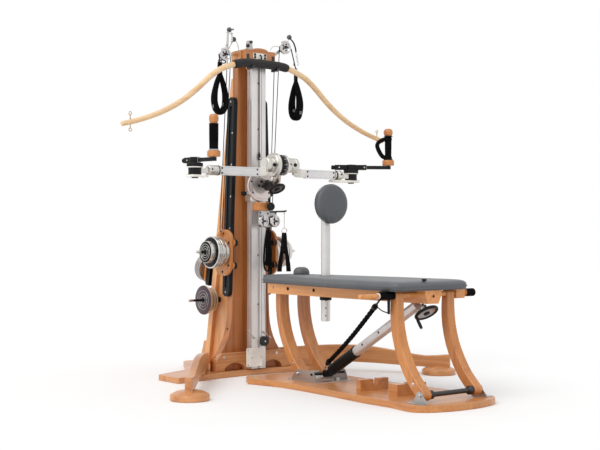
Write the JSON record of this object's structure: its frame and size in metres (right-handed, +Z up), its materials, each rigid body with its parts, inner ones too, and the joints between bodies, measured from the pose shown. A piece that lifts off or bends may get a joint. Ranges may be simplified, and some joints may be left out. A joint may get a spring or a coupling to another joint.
{
  "type": "pulley tower with bench",
  "caption": "Wooden pulley tower with sliding side weights, stirrups on ropes, an arched bar, a height-adjustable handle unit with turning arms, and an upholstered bench on bent legs.",
  "frame": {"origin": "On the floor under the tower's column, in the middle of the tower's floor plate from left to right.", "axes": "+Z is up. +X points from the tower to the bench. -Y is the side of the near handle in the picture, +Y the far side."},
  "size_m": [2.625, 2.144, 2.253],
  "materials": {
    "wood": "satin honey lacquer",
    "wood_light": "satin clear lacquer, paler wood",
    "aluminium": "brushed and anodised, silver",
    "chrome": "polished",
    "black": "matt black plastic, foam and webbing",
    "grey_pad": "smooth dark grey upholstery",
    "steel": "brushed plate"
  },
  "bodies": {
    "tower": {"tower_base_plate": "wood", "tower_column": "wood", "rear_frame": "wood", "head_block": "wood", "front_cross_board": "wood", "left_arched_leg": "wood", "right_arched_leg": "wood", "left_round_foot": "wood", "right_round_foot": "wood", "guide_rail": "aluminium", "left_track": "black", "right_track": "black", "left_storage_weights": "chrome", "right_storage_weights": "chrome", "left_pulley_hanger": "steel", "right_pulley_hanger": "steel", "stop_block": "wood", "bench_base_plate": "wood", "rear_leg_bracket": "steel", "left_front_bracket": "steel", "right_front_bracket": "steel", "left_weight_rope": "black", "right_weight_rope": "black", "front_rope": "black"},
    "left_side_weight": {"left_weight_carriage": "wood_light", "left_weight_stack": "chrome"},
    "right_side_weight": {"right_weight_carriage": "wood_light", "right_weight_stack": "chrome"},
    "left_stirrup_unit": {"left_stirrup": "black"},
    "right_stirrup_unit": {"right_stirrup": "black"},
    "left_top_wheel": {"left_top_pulley": "chrome"},
    "right_top_wheel": {"right_top_pulley": "chrome"},
    "rear_weight": {"rear_weight_stack": "chrome"},
    "handle_unit": {"handle_carriage": "aluminium"},
    "height_hand_wheel": {"height_wheel": "black"},
    "left_arm_unit": {"left_arm": "aluminium", "left_turntable": "steel"},
    "right_arm_unit": {"right_arm": "aluminium", "right_turntable": "steel"},
    "left_crank_unit": {"left_crank": "black"},
    "right_crank_unit": {"right_crank": "black"},
    "left_grip_unit": {"left_grip": "black"},
    "right_grip_unit": {"right_grip": "black"},
    "left_small_wheel": {"left_small_pulley": "chrome"},
    "right_small_wheel": {"right_small_pulley": "chrome"},
    "floor_wheel": {"floor_pulley": "black"},
    "left_strap_unit": {"left_hanging_strap": "black"},
    "right_strap_unit": {"right_hanging_strap": "black"},
    "bar_unit": {"arched_bar": "wood_light", "bar_sleeve": "black"},
    "rear_legs": {"rear_leg_pair": "wood_light"},
    "front_legs": {"front_leg_pair": "wood_light"},
    "bench_top": {"bench_frame": "wood_light", "bench_pad": "grey_pad"},
    "strut_foot": {"strut_lower": "black", "tension_cord": "black"},
    "strut_head": {"strut_upper": "aluminium"},
    "head_rest": {"head_post": "aluminium", "head_pad": "grey_pad"},
    "jack_hand_wheel": {"jack_wheel": "black"}
  },
  "joints": [
    {"name": "left_weight_lift", "type": "slide", "parent": "tower", "child": "left_side_weight", "axis": [0, 0.0333, 0.9994], "range_m": [0, 0.2], "deforming": ["left_weight_rope"]},
    {"name": "right_weight_lift", "type": "slide", "parent": "tower", "child": "right_side_weight", "axis": [0, -0.0333, 0.9994], "range_m": [0, 0.2], "deforming": ["right_weight_rope"]},
    {"name": "left_stirrup_pull", "type": "slide", "parent": "tower", "child": "left_stirrup_unit", "axis": [0, 0, -1], "range_m": [0, 0.4]},
    {"name": "right_stirrup_pull", "type": "slide", "parent": "tower", "child": "right_stirrup_unit", "axis": [0, 0, -1], "range_m": [0, 0.4]},
    {"name": "left_top_spin", "type": "hinge", "parent": "tower", "child": "left_top_wheel", "pos_m": [0.15, -0.237, 2.071], "axis": [1, 0, 0], "continuous": true},
    {"name": "right_top_spin", "type": "hinge", "parent": "tower", "child": "right_top_wheel", "pos_m": [0.15, 0.247, 2.163], "axis": [1, 0, 0], "continuous": true},
    {"name": "rear_weight_lift", "type": "slide", "parent": "tower", "child": "rear_weight", "axis": [0.1676, 0, 0.9859], "range_m": [0, 0.25]},
    {"name": "handle_slide", "type": "slide", "parent": "tower", "child": "handle_unit", "axis": [0, 0, 1], "range_m": [0, 0.28], "deforming": ["front_rope"]},
    {"name": "height_wheel_turn", "type": "hinge", "parent": "handle_unit", "child": "height_hand_wheel", "pos_m": [0.392, 0, 1.205], "axis": [-0.5299, 0, 0.848], "continuous": true},
    {"name": "left_arm_roll", "type": "hinge", "parent": "handle_unit", "child": "left_arm_unit", "pos_m": [0.39, 0, 1.357], "axis": [0, 1, 0], "range_deg": [-90, 90]},
    {"name": "right_arm_roll", "type": "hinge", "parent": "handle_unit", "child": "right_arm_unit", "pos_m": [0.39, 0, 1.357], "axis": [0, 1, 0], "range_deg": [-45, 90]},
    {"name": "left_crank_turn", "type": "hinge", "parent": "left_arm_unit", "child": "left_crank_unit", "pos_m": [0.39, -0.62, 1.3], "axis": [0, 0, 1], "range_deg": [-80, 35]},
    {"name": "right_crank_turn", "type": "hinge", "parent": "right_arm_unit", "child": "right_crank_unit", "pos_m": [0.39, 0.62, 1.3], "axis": [0, 0, 1], "range_deg": [-80, 35]},
    {"name": "left_grip_turn", "type": "hinge", "parent": "left_crank_unit", "child": "left_grip_unit", "pos_m": [0.54782, -0.58818, 1.38], "axis": [0, 0, 1], "continuous": true},
    {"name": "right_grip_turn", "type": "hinge", "parent": "right_crank_unit", "child": "right_grip_unit", "pos_m": [0.52909, 0.83014, 1.38], "axis": [0, 0, 1], "continuous": true},
    {"name": "left_small_spin", "type": "hinge", "parent": "tower", "child": "left_small_wheel", "pos_m": [0.279, -0.023, 1], "axis": [1, 0, 0], "continuous": true},
    {"name": "right_small_spin", "type": "hinge", "parent": "tower", "child": "right_small_wheel", "pos_m": [0.279, 0.069, 1], "axis": [1, 0, 0], "continuous": true},
    {"name": "floor_spin", "type": "hinge", "parent": "tower", "child": "floor_wheel", "pos_m": [0.203, 0.038, 0.22], "axis": [1, 0, 0], "continuous": true},
    {"name": "left_strap_swing", "type": "hinge", "parent": "tower", "child": "left_strap_unit", "pos_m": [0.32, -0.02, 0.945], "axis": [0, 1, 0], "range_deg": [-6, 10]},
    {"name": "right_strap_swing", "type": "hinge", "parent": "tower", "child": "right_strap_unit", "pos_m": [0.32, 0.112, 1.06], "axis": [0, 1, 0], "range_deg": [-6, 10]},
    {"name": "bar_lift", "type": "slide", "parent": "tower", "child": "bar_unit", "axis": [0, 0, 1], "range_m": [0, 0.15]},
    {"name": "bench_lift", "type": "hinge", "parent": "tower", "child": "rear_legs", "pos_m": [0.765, 0, 0.075], "axis": [0, 1, 0], "range_deg": [-20, 4]},
    {"name": "front_leg_swing", "type": "hinge", "parent": "tower", "child": "front_legs", "pos_m": [1.925, 0, 0.075], "axis": [0, 1, 0], "range_deg": [-21, 5]},
    {"name": "bench_level", "type": "hinge", "parent": "rear_legs", "child": "bench_top", "pos_m": [0.56, 0, 0.588], "axis": [0, 1, 0], "range_deg": [-5, 21]},
    {"name": "strut_swing", "type": "hinge", "parent": "tower", "child": "strut_foot", "pos_m": [0.9, 0, 0.08], "axis": [0, 1, 0], "range_deg": [-1, 1]},
    {"name": "strut_extend", "type": "slide", "parent": "strut_foot", "child": "strut_head", "axis": [0.8668, 0, 0.4986], "range_m": [-0.2, 0.06], "deforming": ["tension_cord"]},
    {"name": "head_post_slide", "type": "slide", "parent": "bench_top", "child": "head_rest", "axis": [0, 0, 1], "range_m": [-0.2, 0.15]},
    {"name": "jack_wheel_turn", "type": "hinge", "parent": "bench_top", "child": "jack_hand_wheel", "pos_m": [1.745, 0, 0.488], "axis": [-0.5736, 0, 0.8191], "continuous": true}
  ],
  "couplings": [
    {"joint": "left_stirrup_pull", "follows": "left_weight_lift", "ratio": 2},
    {"joint": "right_stirrup_pull", "follows": "right_weight_lift", "ratio": 2},
    {"joint": "left_top_spin", "follows": "left_weight_lift", "rad_per_m": 47.619},
    {"joint": "right_top_spin", "follows": "right_weight_lift", "rad_per_m": -44.444},
    {"joint": "front_leg_swing", "follows": "bench_lift", "ratio": 1},
    {"joint": "bench_level", "follows": "bench_lift", "ratio": -1},
    {"joint": "strut_swing", "follows": "bench_lift", "ratio": -0.012},
    {"joint": "strut_extend", "follows": "bench_lift", "m_per_rad": 0.548}
  ]
}
